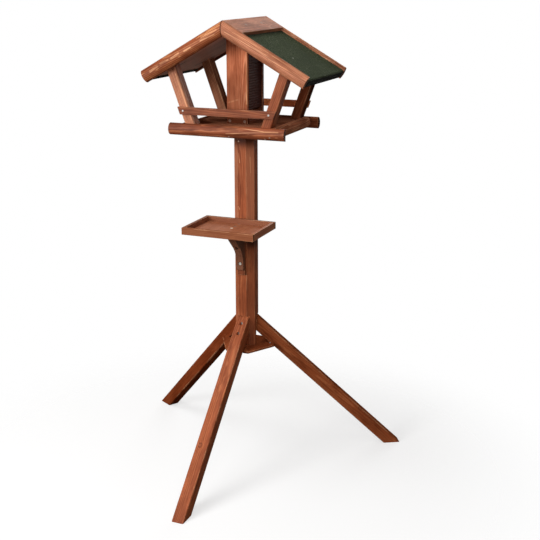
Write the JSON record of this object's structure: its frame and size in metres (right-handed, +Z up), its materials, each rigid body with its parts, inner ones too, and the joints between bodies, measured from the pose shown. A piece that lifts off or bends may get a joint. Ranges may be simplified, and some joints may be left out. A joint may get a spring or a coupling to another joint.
{
  "type": "bird table",
  "caption": "Free-standing wooden bird table: octagonal post on three splayed legs, bracketed tray, and a felt-roofed feeding house with a ribbed seed silo under a lift-off ridge cap.",
  "frame": {"origin": "middle of the footprint, on the ground; the post's axis stands 109 mm behind it (+Y)", "axes": "+Z up, -Y the gable front with the tray and the front leg, +X the viewer's right when facing the front"},
  "size_m": [0.8192, 0.7098, 1.2599],
  "materials": {
    "stained_softwood": "reddish-brown stain, satin, worn pale on the arrises",
    "stained_plywood": "reddish-brown stained plywood, matt",
    "mineral_felt": "dark green mineral granules, matt",
    "zinc_steel": "zinc plated, satin",
    "smoked_plastic": "dark smoke-tinted ribbed sheet, glossy"
  },
  "bodies": {
    "table": {"barge_rail_back_left": "stained_softwood", "barge_rail_back_right": "stained_softwood", "barge_rail_front_left": "stained_softwood", "barge_rail_front_right": "stained_softwood", "base_plate": "stained_plywood", "base_rail_back": "stained_softwood", "base_rail_front": "stained_softwood", "base_rail_left": "stained_softwood", "base_rail_right": "stained_softwood", "bracket_batten": "stained_softwood", "bracket_screw_lower": "zinc_steel", "bracket_screw_upper": "zinc_steel", "corner_post_back_left": "stained_softwood", "corner_post_back_right": "stained_softwood", "corner_post_front_left": "stained_softwood", "corner_post_front_right": "stained_softwood", "house_floor": "stained_softwood", "lath_back": "stained_softwood", "lath_front": "stained_softwood", "leg_front": "stained_softwood", "leg_left": "stained_softwood", "leg_right": "stained_softwood", "leg_screw_front_lower": "zinc_steel", "leg_screw_front_upper": "zinc_steel", "leg_screw_left_lower": "zinc_steel", "leg_screw_left_upper": "zinc_steel", "leg_screw_right_lower": "zinc_steel", "leg_screw_right_upper": "zinc_steel", "plate_screw": "zinc_steel", "post": "stained_softwood", "roof_felt_left": "mineral_felt", "roof_felt_right": "mineral_felt", "roof_panel_left": "stained_plywood", "roof_panel_right": "stained_plywood", "seed_spreader": "stained_softwood", "silo_board_back": "stained_softwood", "silo_board_front": "stained_softwood", "silo_screw_back_1": "zinc_steel", "silo_screw_back_2": "zinc_steel", "silo_screw_front_1": "zinc_steel", "silo_screw_front_2": "zinc_steel", "silo_sheet_left": "smoked_plastic", "silo_sheet_right": "smoked_plastic", "tray_bracket": "stained_softwood", "tray_floor": "stained_plywood", "tray_rim_back": "stained_softwood", "tray_rim_front": "stained_softwood", "tray_rim_left": "stained_softwood", "tray_rim_right": "stained_softwood", "tray_screw_1": "zinc_steel", "tray_screw_2": "zinc_steel", "tray_screw_3": "zinc_steel"},
    "ridge_cap": {"cap_gusset_back": "stained_softwood", "cap_gusset_front": "stained_softwood", "cap_screw_back_left": "zinc_steel", "cap_screw_back_right": "zinc_steel", "cap_screw_front_left": "zinc_steel", "cap_screw_front_right": "zinc_steel", "ridge_board_left": "stained_softwood", "ridge_board_right": "stained_softwood"}
  },
  "joints": [
    {"name": "ridge_cap_lift", "type": "slide", "parent": "table", "child": "ridge_cap", "axis": [0, 0, 1], "range_m": [0, 0.12]}
  ]
}
